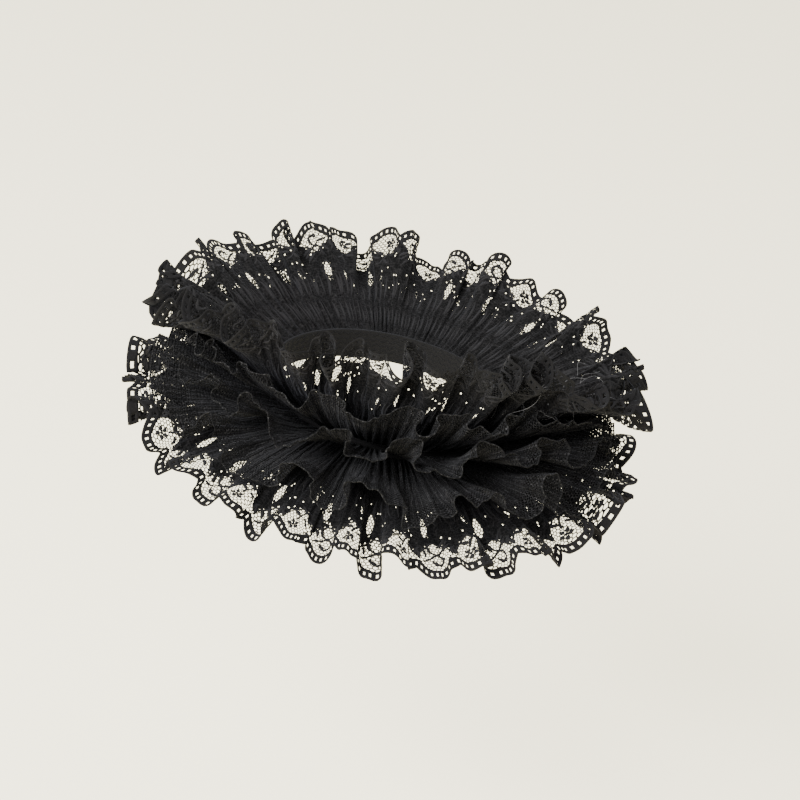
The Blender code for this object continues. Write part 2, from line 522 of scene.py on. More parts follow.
class Strip:
    """The flat cloth of a frill, and where each point of it lies on the worn ruff."""

    def __init__(self, frill, folds):
        self.frill = frill
        self.folds = folds
        self.bearings = np.linspace(0, math.tau, EDGE_STEPS + 1)
        edge = frill_point(frill, self.bearings, frill.depth)
        steps = np.linalg.norm(np.diff(edge, axis=0), axis=1)
        self.lengths = np.concatenate([[0.0], np.cumsum(steps)])
        self.length = self.lengths[-1]

    def spaced(self, count):
        """Even places along the strip."""
        return np.arange(count) * self.length / count

    def surface(self, along, out):
        bearing = np.interp(along % self.length, self.lengths, self.bearings)
        return frill_point(self.frill, bearing, out)

    def edge(self, along, inset=0.0, softness=0.04):
        """How far out the free edge lies, less an inset. Softness rounds the notches between scallops."""
        if not self.frill.scallops:
            return np.full_like(along, self.frill.depth - inset)
        lobe = np.sin(math.pi * self.frill.scallops * along / self.length)
        rounded = (np.sqrt(lobe**2 + softness**2) - softness) / (math.hypot(1, softness) - softness)
        return self.frill.depth - inset + SCALLOP_DEPTH * rounded

    def waves(self, along, width, drift, offset):
        """Uneven waves of about one width, a whole number of them round the strip."""
        turn = math.tau * along / self.length
        count = round(self.length / width)
        wide = sway(turn, drift, offset, size=1.3)
        fine = sway(turn, 2 * drift + 5, 2 * offset, size=0.8)
        return np.sin(count * turn + (wide + fine))

    def fold(self, along, out):
        """Height of the small folds off the frill's own waves."""
        folds = self.folds
        offset = self.frill.offset
        turn = math.tau * along / self.length
        rise = np.clip(out / GATHER_RISE, 0, 1)
        fade = np.clip(1 - out / folds.gather_reach, 0, 1)
        full = np.clip(out / self.frill.depth, 0, 1)
        gather = self.waves(along, folds.gather_width, drift=11, offset=offset)
        fine = self.waves(along, folds.gather_width * FINE_GATHER_WIDTH, drift=19, offset=offset + 1)
        gather = gather + FINE_GATHER_HEIGHT * fine
        swell = 0.7 + sway(turn, count=17, start=3 * offset, size=0.3)
        height = folds.gather_height * fade**GATHER_FADE * swell
        crease = self.waves(along, folds.crease_width, drift=7, offset=offset + 2)
        patch = self.waves(along, folds.crease_width * CREASE_PATCH, drift=4, offset=offset)
        crease = crease * (0.5 + 0.5 * patch)
        crimp = eased(out, folds.crimp_start, self.frill.depth + SCALLOP_DEPTH)
        crimp = crimp * self.waves(along, folds.crimp_width, drift=5, offset=offset + 4)
        crimp = crimp * (0.65 + sway(turn, count=7, start=offset, size=0.35))
        small = rise * (height * gather + folds.crease_height * full * crease)
        return small + folds.crimp_height * crimp + self.shared_folds(along, out)

    def shared_folds(self, along, out):
        """Height of the waves that neighbouring frills share, and of the laces' droop at the sides."""
        bearing = np.interp(along % self.length, self.lengths, self.bearings)
        uneven = sway(bearing, count=5, start=0.7, size=1.1) + sway(bearing, count=11, start=2.0, size=0.7)
        swell = 0.72 + sway(bearing, count=4, start=1.9, size=0.28)
        wave = np.sin(NEST_WAVES * bearing + uneven + NEST_LAG * self.frill.seam_row)
        nested = NEST_HEIGHT * swell * wave * eased(out, NEST_START, NEST_FULL)
        if not self.frill.scallops:
            return nested
        side = np.abs(np.sin(bearing - OPEN_SIDE)) ** SIDE_SHARPNESS
        droop = SIDE_DROOP * side * eased(out, SIDE_DROOP_START, self.frill.depth + SCALLOP_DEPTH)
        return NEST_LACE_SHARE * nested + math.copysign(1, self.frill.seam_row) * droop

    def place(self, along, out, lift=0.0):
        """Points of the worn frill, folded and lifted off its middle surface."""
        base = self.surface(along, out)
        across = self.surface(along + FACING_STEP, out) - self.surface(along - FACING_STEP, out)
        outward = self.surface(along, out + FACING_STEP) - self.surface(along, out - FACING_STEP)
        facing = unit(np.cross(across, outward))
        return base + facing * (lift + self.fold(along, out))[..., None]

    def closeness(self, along, out):
        """How far the cloth is drawn together along the strip: 1 where it lies flat."""
        step = self.surface(along + FACING_STEP, out) - self.surface(along - FACING_STEP, out)
        return np.linalg.norm(step, axis=-1) / (2 * FACING_STEP)


LACE_CRIMPS = {
    "top_lace": {"crimp_height": 0.0056, "crimp_width": 0.033, "crimp_start": 0.036},
    "bottom_lace": {"crimp_height": 0.0034, "crimp_width": 0.032, "crimp_start": 0.048},
}


def lace_strip(frill):
    folds = Folds(
        gather_height=0.0013, gather_width=0.009, gather_reach=0.055, crease_height=0.0013,
        crease_width=0.009, **LACE_CRIMPS[frill.name],
    )
    return Strip(frill, folds)


def tulle_strip(frill, tulle):
    folds = Folds(
        gather_height=tulle.gather_height, gather_width=0.0080, gather_reach=0.058, crease_height=0.0010,
        crease_width=0.0075, crimp_height=0.0014, crimp_width=0.017, crimp_start=0.030,
    )
    return Strip(frill, folds)


class Parts:
    """Points and faces of several shapes, gathered into one mesh."""

    def __init__(self):
        self.points = []
        self.faces = []
        self.flat = []
        self.count = 0

    def add(self, points, faces, flat=None):
        points = points.reshape(-1, 3)
        self.points.append(points)
        self.faces.extend((np.asarray(faces) + self.count).tolist())
        self.flat.append(np.zeros((len(points), 2)) if flat is None else flat.reshape(-1, 2))
        self.count += len(points)

    def piece(self, name, material, slot):
        mesh = bpy.data.meshes.new(name)
        mesh.from_pydata(np.concatenate(self.points).tolist(), [], self.faces)
        mesh.shade_smooth()
        mesh.materials.append(material)
        flat = np.concatenate(self.flat)
        corners = np.empty(len(mesh.loops), np.int32)
        mesh.loops.foreach_get("vertex_index", corners)
        layer = mesh.uv_layers.new(name="cloth")
        layer.data.foreach_set("uv", flat[corners].astype(np.float32).ravel())
        obj = bpy.data.objects.new(name, mesh)
        bpy.context.scene.collection.objects.link(obj)
        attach(obj, BODY)
        return obj


def ring_quads(rows, columns):
    """Faces of a grid of points whose last column joins its first."""
    row, column = np.meshgrid(np.arange(rows - 1), np.arange(columns), indexing="ij")
    after = (column + 1) % columns
    near, far = row * columns, (row + 1) * columns
    return np.stack([near + column, near + after, far + after, far + column], axis=-1).reshape(-1, 4)


def tube_faces(tubes, steps, sides, closed):
    """Faces of tubes whose rings of points follow each other, one tube after another."""
    tube, step, side = np.meshgrid(
        np.arange(tubes), np.arange(steps if closed else steps - 1), np.arange(sides), indexing="ij"
    )
    here = (tube * steps + step) * sides
    after = (tube * steps + (step + 1) % steps) * sides
    beside = (side + 1) % sides
    return np.stack([here + side, after + side, after + beside, here + beside], axis=-1).reshape(-1, 4)


def add_cords(parts, strip, paths, half_widths, relief, closed=False, sides=4):
    """Lays rounded cords on the cloth. Paths is an array of flat paths with as many points each."""
    if closed:
        lap = strip.length if paths[0, -1, 0] - paths[0, 0, 0] > strip.length / 2 else 0
        ahead, behind = np.roll(paths, -1, axis=1), np.roll(paths, 1, axis=1)
        ahead[:, -1, 0] += lap
        behind[:, 0, 0] -= lap
        tangent = ahead - behind
    else:
        tangent = np.gradient(paths, axis=1)
    tangent /= np.maximum(np.linalg.norm(tangent, axis=-1, keepdims=True), 1e-9)
    normal = np.stack([-tangent[..., 1], tangent[..., 0]], axis=-1)
    angle = math.tau * np.arange(sides) / sides
    lateral = np.cos(angle) * np.broadcast_to(half_widths, paths.shape[:2])[..., None]
    lift = np.broadcast_to(np.sin(angle) * relief / 2, lateral.shape)
    flat = paths[:, :, None, :] + normal[:, :, None, :] * lateral[..., None]
    points = strip.place(flat[..., 0], flat[..., 1], lift)
    parts.add(points, tube_faces(*paths.shape[:2], sides, closed), flat)


def ring_path(along, out):
    """One flat path all round a strip."""
    return np.stack([along, out], axis=-1)[None]


def ground_end(strip, along):
    """How far out the dense ground reaches."""
    across = (along * strip.frill.scallops / strip.length) % 1
    return OPEN_NET_START[strip.frill.name] + NOTCH_RISE * (2 * np.abs(across - 0.5)) ** 1.5


def dense_ground(strip, along, out):
    """Where the lace's ground is worked close: 1 in the dense ground, 0 in the open net and the windows."""
    end = ground_end(strip, along)
    dense = 1 - eased(out, end - FADE_UNDER, end + FADE_OVER)
    across = (along * strip.frill.scallops / strip.length) % 2
    for window in LACE_WINDOWS:
        side = np.abs((across - window.middle + 1) % 2 - 1)
        lens = np.hypot(side / window.half_width, (out - window.height) / window.half_height)
        dense = dense * eased(lens, 1 - WINDOW_FADE, 1 + WINDOW_FADE)
    return dense


def add_net(parts, strip, cell_width, cell_height, first_out, limit_at, thread_at, closed_at):
    """Six-sided net, cell by cell: each cell is a hole, and its neighbours share the threads round it.

    A cell that closed_at picks is worked over, so it has no hole. Its six corners are numbered clockwise
    from the top one, which points out from the seam.
    """
    columns = round(strip.length / cell_width)
    width = strip.length / columns
    pitch = cell_height * ROW_PITCH
    rows = int((strip.frill.depth + SCALLOP_DEPTH - first_out) / pitch) + 2
    row, column = np.meshgrid(np.arange(rows), np.arange(columns), indexing="ij")
    along = (column + 0.5 * (row % 2)) * width
    out = first_out + row * pitch
    thread = thread_at(along, out)
    drawn = np.clip(strip.closeness(along, out), CLOSEST_CLOTH, LOOSEST_CLOTH)
    across = width - np.minimum(thread / drawn, width * WIDEST_THREAD)
    upward = cell_height - np.minimum(thread * 4 / 3, cell_height * TALLEST_THREAD)
    corner = np.array([(0, 0.5), (0.5, 0.25), (0.5, -0.25), (0, -0.5), (-0.5, -0.25), (-0.5, 0.25)])
    corner_along = along[..., None] + corner[:, 0] * across[..., None]
    corner_out = out[..., None] + corner[:, 1] * upward[..., None]
    corner_out = np.minimum(corner_out, limit_at(corner_along))
    inside = out <= limit_at(along) + 0.5 * pitch
    points = strip.place(corner_along, corner_out).reshape(-1, 3)
    flat = np.stack([corner_along, corner_out], axis=-1)

    def face(*corners):
        return np.stack([(at_row * columns + at % columns) * 6 + k for at_row, at, k in corners], axis=-1)

    right = column + 1
    joins_right = inside & np.roll(inside, -1, axis=1)
    quads = [face((row, column, 1), (row, column, 2), (row, right, 4), (row, right, 5))[joins_right]]

    row, column, right = row[:-1], column[:-1], right[:-1]
    above, above_right = row + 1, column + row % 2
    above_left = above_right - 1
    joins_above_right = inside[:-1] & inside[above, above_right % columns]
    joins_above_left = inside[:-1] & inside[above, above_left % columns]
    leaning = face((row, column, 1), (above, above_right, 3), (above, above_right, 4), (row, column, 0))
    quads.append(leaning[joins_above_right])
    leaning = face((row, column, 0), (above, above_left, 2), (above, above_left, 3), (row, column, 5))
    quads.append(leaning[joins_above_left])
    over = face((row, column, 0), (above, above_right, 4), (above, above_left, 2))
    beside = face((row, column, 1), (row, right, 5), (above, above_right, 3))
    joints = [over[joins_above_right & joins_above_left], beside[joins_above_right & joins_right[:-1]]]
    worked = np.flatnonzero(closed_at(along, out) & inside)
    quads.append(worked[:, None] * 6 + np.array([0, 3, 2, 1]))
    quads.append(worked[:, None] * 6 + np.array([0, 5, 4, 3]))
    for faces in (np.concatenate(quads), np.concatenate(joints)):
        corners = points[faces]
        span = np.cross(corners[:, 1] - corners[:, 0], corners[:, -1] - corners[:, 0])
        other = np.cross(corners[:, 1] - corners[:, 2], corners[:, -1] - corners[:, 2])
        size = np.linalg.norm(span, axis=1) + np.linalg.norm(other, axis=1)
        parts.faces.extend((faces[size > SMALLEST_FACE] + parts.count).tolist())
    parts.points.append(points)
    parts.flat.append(flat.reshape(-1, 2))
    parts.count += len(points)


def add_thread(parts, centres, outward, half, closed=False, sides=4):
    """A thin thread along points in space, with a direction across it at each."""
    ahead, behind = np.roll(centres, -1, axis=0), np.roll(centres, 1, axis=0)
    if not closed:
        ahead[-1], behind[0] = centres[-1], centres[0]
    across = unit(np.cross(ahead - behind, outward))
    angle = math.tau * np.arange(sides)[:, None] / sides
    ring = outward[:, None] * np.cos(angle) + across[:, None] * np.sin(angle)
    points = centres[:, None] + half * ring
    parts.add(points, tube_faces(1, len(centres), sides, closed))


def add_cloth(parts, strip, columns, outs):
    """A plain ring of cloth with a row of points at each run out from the seam."""
    flat = np.stack(np.broadcast_arrays(strip.spaced(columns)[None], outs[:, None]), axis=-1)
    parts.add(strip.place(flat[..., 0], flat[..., 1]), ring_quads(len(outs), columns), flat)


class Leaf(NamedTuple):
    """A tapered stroke of the chart, in millimetres across the scallop and out from the seam."""

    start: tuple
    end: tuple
    bulge: float
    half_width: float


HOOK_LEAVES = (
    Leaf(start=(1.5, 59.0), end=(8.5, 53.5), bulge=0.10, half_width=1.3),
    Leaf(start=(4.0, 62.5), end=(11.0, 58.5), bulge=0.10, half_width=1.2),
    Leaf(start=(-6.0, 66.0), end=(-9.5, 60.0), bulge=0.15, half_width=1.3),
    Leaf(start=(-3.5, 63.5), end=(-6.5, 57.0), bulge=0.15, half_width=1.3),
)
FLOWER_LEAVES = (
    Leaf(start=(1.6, 62.5), end=(8.0, 66.5), bulge=-0.16, half_width=1.2),
    Leaf(start=(4.2, 59.8), end=(10.0, 62.0), bulge=-0.14, half_width=1.1),
    Leaf(start=(-0.5, 62.5), end=(-7.0, 60.0), bulge=0.18, half_width=1.3),
    Leaf(start=(2.5, 59.0), end=(-2.5, 54.5), bulge=0.15, half_width=1.2),
)
NOTCH_LEAVES = (
    Leaf(start=(-10.5, 67.5), end=(-13.0, 61.5), bulge=0.15, half_width=1.3),
    Leaf(start=(11.0, 65.0), end=(13.5, 60.0), bulge=-0.15, half_width=1.3),
)


def in_scallops(strip, shape, step=1, start=0.0):
    """Copies a flat shape, drawn about a scallop's middle, to every scallop or every few of them."""
    scallop = strip.length / strip.frill.scallops
    middles = (np.arange(0, strip.frill.scallops, step) + 0.5 + start) * scallop
    copies = np.repeat(shape[None], len(middles), axis=0)
    copies[..., 0] += middles[:, None]
    return copies


def spiral(centre, outer, inner, turns, start, count):
    """A flat spiral that winds in from an outer radius."""
    share = np.linspace(0, 1, count)
    angle = start + turns * math.tau * share
    radius = between(outer, inner, share)
    return np.stack([centre[0] + radius * np.cos(angle), centre[1] + radius * np.sin(angle)], axis=-1)


def bow(start, end, bulge, count):
    """A flat arc-like line from start to end that bulges to its left."""
    start, end = np.array(start), np.array(end)
    share = np.linspace(0, 1, count)[:, None]
    line = between(start, end, share)
    across = np.array([-(end - start)[1], (end - start)[0]])
    return line + across * bulge * 4 * share * (1 - share)


def leaf_widths(count, half_width):
    """A leaf's half widths from its stem to its tip."""
    share = np.linspace(0, 1, count)
    return half_width * np.clip(np.sin(math.pi * share**0.85), 0.06, None)


def build_node_material(name, colour, roughness, sheen=0.0, sheen_colour=WHITE):
    material = bpy.data.materials.new(name)
    material.use_nodes = True
    shader = material.node_tree.nodes["Principled BSDF"]
    look = {"Base Color": shade(colour), "Roughness": roughness, "Specular IOR Level": 0.04}
    set_inputs(shader, look)
    nap = {"Sheen Weight": sheen, "Sheen Roughness": 0.5, "Sheen Tint": shade(sheen_colour)}
    set_inputs(shader, nap)
    return material, shader


def shade(colour, share=1.0):
    """A colour made darker or lighter, with full cover."""
    return (*[channel * share for channel in colour], 1.0)


def set_inputs(node, values):
    """Sets inputs of a node by their names."""
    for name, value in values.items():
        node.inputs[name].default_value = value


def new_node(tree, kind, **inputs):
    """A new node with some of its inputs set."""
    node = tree.nodes.new(kind)
    set_inputs(node, inputs)
    return node


def combined(tree, operation, first, second):
    """What a sum, product or power of two outputs, or of an output and a number, gives."""
    node = tree.nodes.new("ShaderNodeMath")
    node.operation = operation
    for socket, value in zip(node.inputs, (first, second)):
        if isinstance(value, float):
            socket.default_value = value
        else:
            tree.links.new(value, socket)
    return node.outputs["Value"]


def cloth_place(tree):
    """Where a point lies in the flat cloth."""
    place = tree.nodes.new("ShaderNodeUVMap")
    place.uv_map = "cloth"
    return place.outputs["UV"]


def speckles(tree, place, scale, detail):
    """Uneven noise, about a half on average."""
    noise = new_node(tree, "ShaderNodeTexNoise", Scale=scale, Detail=detail)
    tree.links.new(place, noise.inputs["Vector"])
    return noise.outputs["Fac"]


def cells(tree, place, width, randomness):
    """Distance from the middle of the nearest cell of a net, 0 in the middle and about 1 on its threads."""
    net = new_node(tree, "ShaderNodeTexVoronoi", Scale=1 / width, Randomness=randomness)
    tree.links.new(place, net.inputs["Vector"])
    return combined(tree, "MULTIPLY", net.outputs["Distance"], 1.5)


def bands(tree, place, spacing, distortion):
    """Parallel threads that run out from the seam, a named distance apart."""
    wave = new_node(
        tree, "ShaderNodeTexWave", Scale=math.pi / (10 * spacing), Distortion=distortion, Detail=2.0,
    )
    wave.inputs["Detail Scale"].default_value = 1.5
    wave.wave_type = "BANDS"
    wave.bands_direction = "X"
    tree.links.new(place, wave.inputs["Vector"])
    return wave.outputs["Fac"]


def coloured(tree, shader, lit, dark, light):
    """Gives the shader a base colour between a dark and a light one."""
    mix = tree.nodes.new("ShaderNodeMix")
    mix.data_type = "RGBA"
    mix.inputs["A"].default_value = dark
    mix.inputs["B"].default_value = light
    tree.links.new(lit, mix.inputs["Factor"])
    tree.links.new(mix.outputs["Result"], shader.inputs["Base Color"])


def bumped(tree, shader, height, strength, distance):
    """Gives the shader's surface a fine relief."""
    bump = new_node(tree, "ShaderNodeBump", Strength=strength, Distance=distance)
    tree.links.new(height, bump.inputs["Height"])
    tree.links.new(bump.outputs["Normal"], shader.inputs["Normal"])


def thread_material(name, colour, roughness=0.8, sheen=0.02, grain=900.0):
    """Spun thread: fine uneven darkness and a fine grain."""
    material, shader = build_node_material(name, colour, roughness, sheen, THREAD_SHEEN)
    tree = material.node_tree
    place = tree.nodes.new("ShaderNodeTexCoord")
    fibres = speckles(tree, place.outputs["Object"], scale=grain, detail=3.0)
    coloured(tree, shader, fibres, dark=shade(colour, 0.55), light=shade(colour, 1.6))
    bumped(tree, shader, fibres, strength=0.35, distance=0.0002)
    return material


def worked_net_material(name, lace):
    """Worked net: threads round small dark cells. The base colour carries painted shade in the cells and a
    painted highlight along the threads.
    """
    material, shader = build_node_material(name, lace.colour, 0.85, 0.02, THREAD_SHEEN)
    tree = material.node_tree
    place = cloth_place(tree)
    net = cells(tree, place, width=lace.cell_width * 0.8, randomness=0.55)
    uneven = combined(tree, "POWER", speckles(tree, place, scale=260.0, detail=4.0), 1.8)
    # Painted light: the base colour is darkest in the middles of the cells, as painted shade, and lightest on
    # the threads, as painted highlight, in uneven patches
    lit = combined(tree, "MULTIPLY", combined(tree, "POWER", net, 2.0), uneven)
    coloured(tree, shader, lit, dark=shade(lace.colour, 0.2), light=shade(lace.colour, 3.5))
    bumped(tree, shader, net, strength=0.8, distance=0.0006)
    return material


def ribbed_cloth_material(name, tulle):
    """Fine ribbed tulle: ribs run out from the seam and finer threads cross them. The base colour carries
    painted highlights on the ribs and on soft creases, and painted shade between them, uneven in patches.
    """
    material, shader = build_node_material(name, tulle.colour, 0.92, 0.02, TULLE_SHEEN)
    tree = material.node_tree
    place = cloth_place(tree)
    ribs = bands(tree, place, tulle.rib_spacing, distortion=1.2)
    creases = combined(tree, "POWER", bands(tree, place, tulle.crease_spacing, distortion=5.0), 3.0)
    net = combined(tree, "POWER", cells(tree, place, width=tulle.cell_width, randomness=0.4), 1.5)
    uneven = combined(tree, "POWER", speckles(tree, place, scale=140.0, detail=5.0), 1.6)
    weave = combined(tree, "MULTIPLY", net, combined(tree, "ADD", ribs, 0.5))
    # Painted highlight: soft crease stripes lighten the base colour where the light would catch the creases
    crease_highlights = combined(tree, "ADD", combined(tree, "MULTIPLY", creases, 1.1), 0.35)
    # Painted light: the base colour runs from the tulle colour, as painted shade, to the ribs' highlight
    # colour, as painted highlight
    lit = combined(tree, "MULTIPLY", combined(tree, "MULTIPLY", weave, crease_highlights), uneven)
    coloured(tree, shader, lit, dark=shade(tulle.colour), light=shade(tulle.rib_highlight_colour))
    bumped(tree, shader, combined(tree, "ADD", weave, creases), strength=0.8, distance=0.0008)
    return material


class RUFF_OT_lace_border(bpy.types.Operator):
    """Make the scalloped ladder borders of the lace"""

    bl_idname = "ruff.lace_border"
    bl_label = "Lace borders"

    def execute(self, context):
        lace = context.scene.ruff_lace
        material = thread_material("lace_cord", lace.colour)
        for frill in LACE_FRILLS:
            strip = lace_strip(frill)
            parts = Parts()
            outermost = lace.cord_width / 2
            cords = ((outermost, OUTER_SOFTNESS), (outermost + lace.border_width, INNER_SOFTNESS))
            along = strip.spaced(frill.scallops * CORD_STEPS)
            for inset, softness in cords:
                path = ring_path(along, strip.edge(along, inset, softness))
                add_cords(parts, strip, path, lace.cord_width / 2, lace.relief, closed=True, sides=6)
            rungs = frill.scallops * lace.rungs
            at = (np.arange(rungs) + 0.5) * strip.length / rungs
            outer, inner = (np.stack([at, strip.edge(at, *cord)], axis=-1) for cord in cords)
            share = np.linspace(0, 1, 3)[None, :, None]
            paths = between(inner[:, None], outer[:, None], share)
            add_cords(parts, strip, paths, lace.rung_width / 2, lace.relief * 0.8, sides=6)
            parts.piece(frill.piece("border"), material, "lace")
        return {"FINISHED"}


class RUFF_OT_lace_motifs(bpy.types.Operator):
    """Make the scrolls, leaves and flowers that are worked on the lace"""

    bl_idname = "ruff.lace_motifs"
    bl_label = "Lace motifs"

    def execute(self, context):
        lace = context.scene.ruff_lace
        material = thread_material("lace_motif", lace.motif_colour)
        mm = 0.001
        for frill in LACE_FRILLS:
            strip = lace_strip(frill)
            parts = Parts()

            def lay(path, half_width, taper=False, **places):
                widths = leaf_widths(len(path), half_width * mm) if taper else half_width * mm
                add_cords(parts, strip, in_scallops(strip, path * mm, **places), widths, lace.relief)

            def lay_leaves(leaves, **places):
                for start, end, bulge, half_width in leaves:
                    lay(bow(start, end, bulge, 7), half_width, taper=True, **places)

            hooks = {"step": 2, "start": 0.0}
            lay(spiral((0.6, 68.6), 4.2, 2.6, 0.72, math.radians(-75), 16), 0.75, **hooks)
            lay(spiral((-0.4, 70.6), 0.6, 0.6, 1.0, 0.0, 7), 0.75, **hooks)
            lay(bow((1.7, 64.6), (-3.5, 60.5), -0.15, 6), 0.75, **hooks)
            lay(bow((-8.0, 69.0), (9.5, 57.0), 0.06, 12), 0.7, **hooks)
            lay_leaves(HOOK_LEAVES, **hooks)

            flowers = {"step": 2, "start": 1.0}
            heart = np.array((-2.2, 69.0))
            for petal in range(5):
                turn = math.tau * petal / 5 + 0.4
                ray = np.array((math.cos(turn), math.sin(turn)))
                lay(bow(heart + 0.9 * ray, heart + 4.0 * ray, 0.08, 6), 1.25, taper=True, **flowers)
            lay(spiral(heart, 0.5, 0.5, 1.0, 0.0, 7), 0.5, **flowers)
            lay(bow((-1.5, 64.6), (7.5, 55.5), -0.16, 10), 0.7, **flowers)
            lay_leaves(FLOWER_LEAVES, **flowers)

            lay_leaves(NOTCH_LEAVES)
            lay(spiral((9.0, 69.5), 0.55, 0.55, 1.0, 0.0, 7), 0.55)
            self.outlines(parts, strip, lace)
            for place, lean in ((-11.5, 1.5), (-1.5, -1.5), (3.5, 1.5), (11.5, -1.5)):
                lay(bow((place, 29.0), (place + lean, 45.0), 0.1, 7), 1.5, taper=True)
            for place in (-9.0, -3.0, 3.0, 9.0):
                lay(bow((place, 9.0), (place + 1.6, 25.0), 0.08, 6), 1.5, taper=True)
            parts.piece(frill.piece("motifs"), material, "lace")
        return {"FINISHED"}

    def outlines(self, parts, strip, lace):
        """Thin cords round the windows and along the end of the dense ground."""
        scallop = strip.length / strip.frill.scallops
        turn = math.tau * np.arange(OUTLINE_STEPS) / OUTLINE_STEPS
        half_width = OUTLINE_WIDTH / 2
        for window in LACE_WINDOWS:
            lens = np.stack([
                (window.middle - 0.5 + window.half_width * np.cos(turn)) * scallop,
                window.height + window.half_height * np.sin(turn),
            ], axis=-1)
            copies = in_scallops(strip, lens, step=2)
            add_cords(parts, strip, copies, half_width, lace.relief, closed=True)
        along = strip.spaced(strip.frill.scallops * OUTLINE_STEPS)
        end = ring_path(along, ground_end(strip, along))
        add_cords(parts, strip, end, half_width, lace.relief, closed=True)


class RUFF_OT_lace_net(bpy.types.Operator):
    """Make the six-sided net of the lace"""

    bl_idname = "ruff.lace_net"
    bl_label = "Lace net"

    def execute(self, context):
        lace = context.scene.ruff_lace
        material = worked_net_material("lace_net", lace)
        for frill in LACE_FRILLS:
            strip = lace_strip(frill)
            parts = Parts()
            inset = lace.cord_width / 2 + lace.border_width

            def border_at(along):
                return strip.edge(along, inset, INNER_SOFTNESS)

            def thread_at(along, out):
                return between(lace.net_thread, lace.dense_thread, dense_ground(strip, along, out))

            def closed_at(along, out):
                holes = between(INNER_HOLES, OUTER_HOLES, eased(out, HEADING, HOLES_FULL))
                closed = scattered(*np.indices(along.shape)) > holes
                return (dense_ground(strip, along, out) > WORKED_FROM) & closed

            add_net(
                parts, strip, lace.cell_width, lace.cell_height, HEADING, border_at, thread_at, closed_at
            )
            add_cloth(parts, strip, HEADING_COLUMNS, np.linspace(0, HEADING, HEADING_ROWS))
            net = parts.piece(frill.piece("net"), material, "lace")
            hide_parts(frill.piece("frill"))
            frill.piece("border")
            frill.piece("motifs")
        return {"FINISHED"}


class RUFF_OT_tulle_frills(bpy.types.Operator):
    """Make the three gathered tulle frills and the overlock stitches on their edges"""

    bl_idname = "ruff.tulle_frills"
    bl_label = "Tulle frills"

    def execute(self, context):
        tulle = context.scene.ruff_tulle
        cloth = ribbed_cloth_material("tulle_cloth", tulle)
        sewing = thread_material("tulle_overlock", tulle.edge_colour, 0.85, 0.0)
        for frill in TULLE_FRILLS:
            strip = tulle_strip(frill, tulle)
            sheer = frill.name == "lower_tulle"
            open_depth = tulle.lower_open_depth if sheer else tulle.open_depth
            solid_to = frill.depth - open_depth
            free_edge = frill.depth - tulle.edge_roll / 3

            def edge_at(along):
                return np.full_like(along, free_edge)

            def thread_at(along, out):
                worked = 1 - eased(out, solid_to, solid_to + 0.45 * open_depth)
                return between(tulle.net_thread, tulle.cell_width * 0.7, worked)

            def closed_at(along, out):
                return out < solid_to + 0.5 * tulle.cell_height

            parts = Parts()
            add_cloth(parts, strip, TULLE_COLUMNS, solid_to * np.linspace(0, 1, TULLE_ROWS))
            add_net(
                parts, strip, tulle.cell_width, tulle.cell_height, solid_to, edge_at, thread_at, closed_at
            )
            rim = ring_path(strip.spaced(TULLE_COLUMNS), np.full(TULLE_COLUMNS, frill.depth))
            add_cords(parts, strip, rim, tulle.edge_roll / 2, tulle.edge_roll, closed=True, sides=5)
            sheet = parts.piece(frill.piece("cloth"), cloth, "tulle")
            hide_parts(frill.piece("frill"))
            stitches = Parts()
            self.overlock(stitches, strip, tulle)
            edge = stitches.piece(frill.piece("edge"), sewing, "tulle")
        self.loose_fibres(tulle)
        return {"FINISHED"}

    def loose_fibres(self, tulle):
        """Fine loose threads that lie in curls over the top lace at the wearer's left."""
        strip = lace_strip(LACE_FRILLS[0])
        parts = Parts()
        share = np.linspace(0, 1, FIBRE_POINTS)
        for fibre in range(LOOSE_FIBRES):
            bearing = between(FIBRES_FROM, FIBRES_TO, fibre * GOLDEN_SHARE % 1)
            start = np.interp(bearing, strip.bearings, strip.lengths)
            lowest = between(LOWEST_FIBRE, HIGHEST_FIBRE, fibre * HEIGHT_SHARE % 1)
            reach = between(SHORTEST_FIBRE, LONGEST_FIBRE, fibre * GOLDEN_SHARE**2 % 1)
            step = reach / FIBRE_POINTS
            curl = FIBRE_CURL * math.sin(CURL_STEP * fibre)
            heading = FIBRE_HEADING + FIBRE_TURN * math.sin(TURN_STEP * fibre) + curl * share
            along = start + step * np.cumsum(np.cos(heading))
            out = lowest + step * np.cumsum(np.sin(heading))
            side = (-1) ** fibre
            lift = side * (FIBRE_CLEAR + FIBRE_ARCH * np.sin(math.pi * share))
            centres = strip.place(along, out, lift)
            away = strip.place(along, out, lift + FACING_STEP * side) - centres
            add_thread(parts, centres, unit(away), tulle.fibre / 2, sides=3)
        fibres = thread_material("loose_fibre", tulle.fibre_colour, 0.6, 0.05)
        parts.piece("loose_fibres", fibres, "tulle")

    def overlock(self, parts, strip, tulle):
        """A thread that winds over the edge: above the cloth, round the edge, below the cloth and back."""
        stitches = round(strip.length / tulle.stitch_length)
        along = strip.spaced(stitches * 4)
        clear = tulle.edge_roll / 2 + tulle.stitch_thread / 3
        inner = strip.frill.depth - tulle.stitch_depth
        outer = strip.frill.depth + clear
        out = np.tile([inner, outer, inner, outer], stitches)
        lift = np.tile([clear, 0.0, -clear, 0.0], stitches)
        ahead = strip.place(along + FACING_STEP, out, lift)
        behind = strip.place(along - FACING_STEP, out, lift)
        centres, facing = (ahead + behind) / 2, unit(ahead - behind)
        add_thread(parts, centres, facing, tulle.stitch_thread / 2, closed=True, sides=3)


